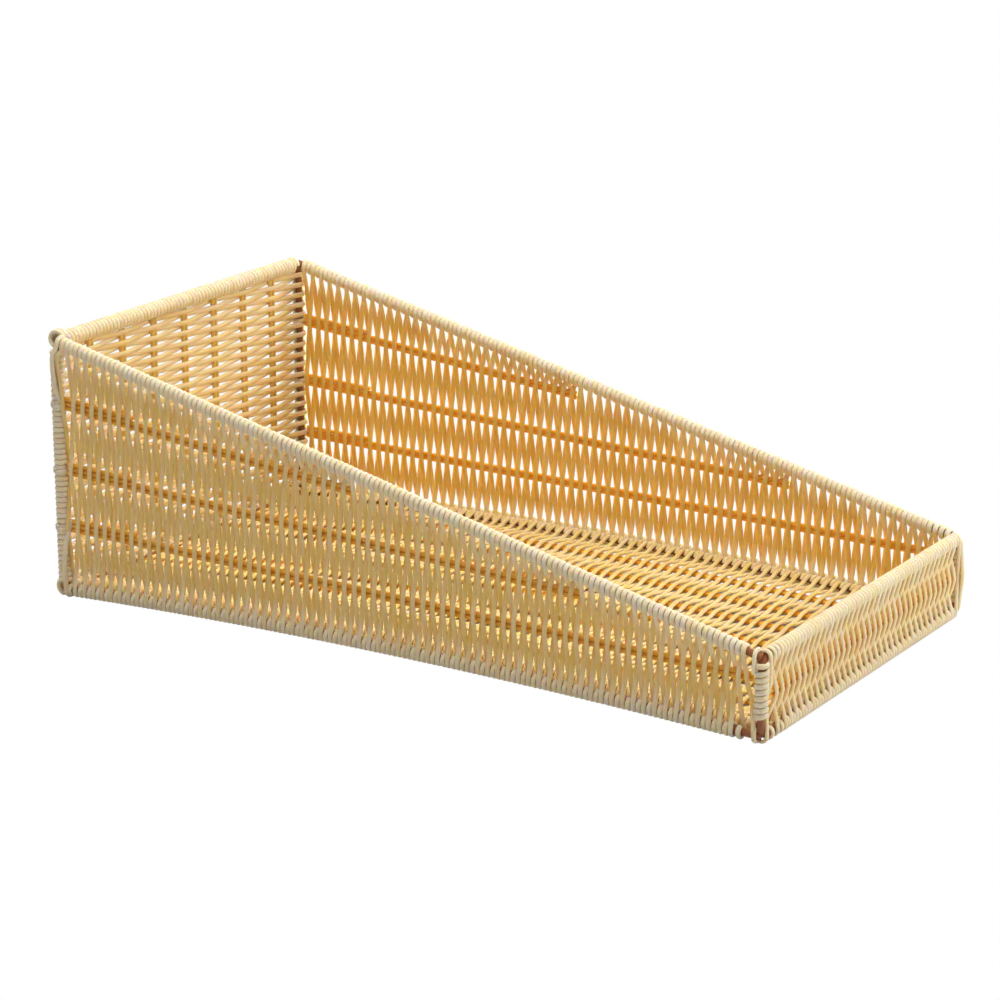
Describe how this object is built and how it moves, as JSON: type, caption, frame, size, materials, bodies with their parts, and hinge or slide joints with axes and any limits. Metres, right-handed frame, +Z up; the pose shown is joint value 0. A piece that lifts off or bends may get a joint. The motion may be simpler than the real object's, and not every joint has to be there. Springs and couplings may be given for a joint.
{
  "type": "sloped woven display basket",
  "caption": "Open display basket with a low front, high back and sloping sides: plastic-rattan strands woven on stakes and wrapped over a brown steel rod frame.",
  "frame": {"origin": "on the floor, under the middle of the basket's outer box", "axes": "+Z up, +Y towards the high back, +X to the right seen from the low front"},
  "size_m": [0.267, 0.5, 0.1698],
  "materials": {
    "woven_strand": "satin",
    "cane_winding": "satin",
    "plastic_cane_stake": "satin",
    "brown_painted_rod": "semi-gloss paint"
  },
  "bodies": {
    "root": {"back_bottom_winding_1": "cane_winding", "back_bottom_winding_2": "cane_winding", "back_bottom_winding_3": "cane_winding", "back_loop": "brown_painted_rod", "back_panel_stake_1": "plastic_cane_stake", "back_panel_stake_2": "plastic_cane_stake", "back_panel_stake_3": "plastic_cane_stake", "back_panel_stake_4": "plastic_cane_stake", "back_panel_stake_5": "plastic_cane_stake", "back_panel_stake_6": "plastic_cane_stake", "back_panel_stake_7": "plastic_cane_stake", "back_panel_strands": "woven_strand", "back_rim_winding_1": "cane_winding", "back_rim_winding_2": "cane_winding", "back_rim_winding_3": "cane_winding", "base_back_rod": "brown_painted_rod", "base_front_rod": "brown_painted_rod", "base_left_rod": "brown_painted_rod", "base_right_rod": "brown_painted_rod", "base_stake_1": "plastic_cane_stake", "base_stake_2": "plastic_cane_stake", "base_stake_3": "plastic_cane_stake", "base_stake_4": "plastic_cane_stake", "base_stake_5": "plastic_cane_stake", "base_stake_6": "plastic_cane_stake", "base_stake_7": "plastic_cane_stake", "base_strands": "woven_strand", "front_left_post_winding": "cane_winding", "front_loop": "brown_painted_rod", "front_panel_stake": "plastic_cane_stake", "front_panel_strands": "woven_strand", "front_right_post_winding": "cane_winding", "left_bottom_rail": "brown_painted_rod", "left_rim_rod": "brown_painted_rod", "left_wall_lower_stake": "plastic_cane_stake", "left_wall_middle_stake": "plastic_cane_stake", "left_wall_strands": "woven_strand", "left_wall_upper_stake": "plastic_cane_stake", "right_bottom_rail": "brown_painted_rod", "right_rim_rod": "brown_painted_rod", "right_wall_lower_stake": "plastic_cane_stake", "right_wall_middle_stake": "plastic_cane_stake", "right_wall_strands": "woven_strand", "right_wall_upper_stake": "plastic_cane_stake"}
  },
  "joints": []
}
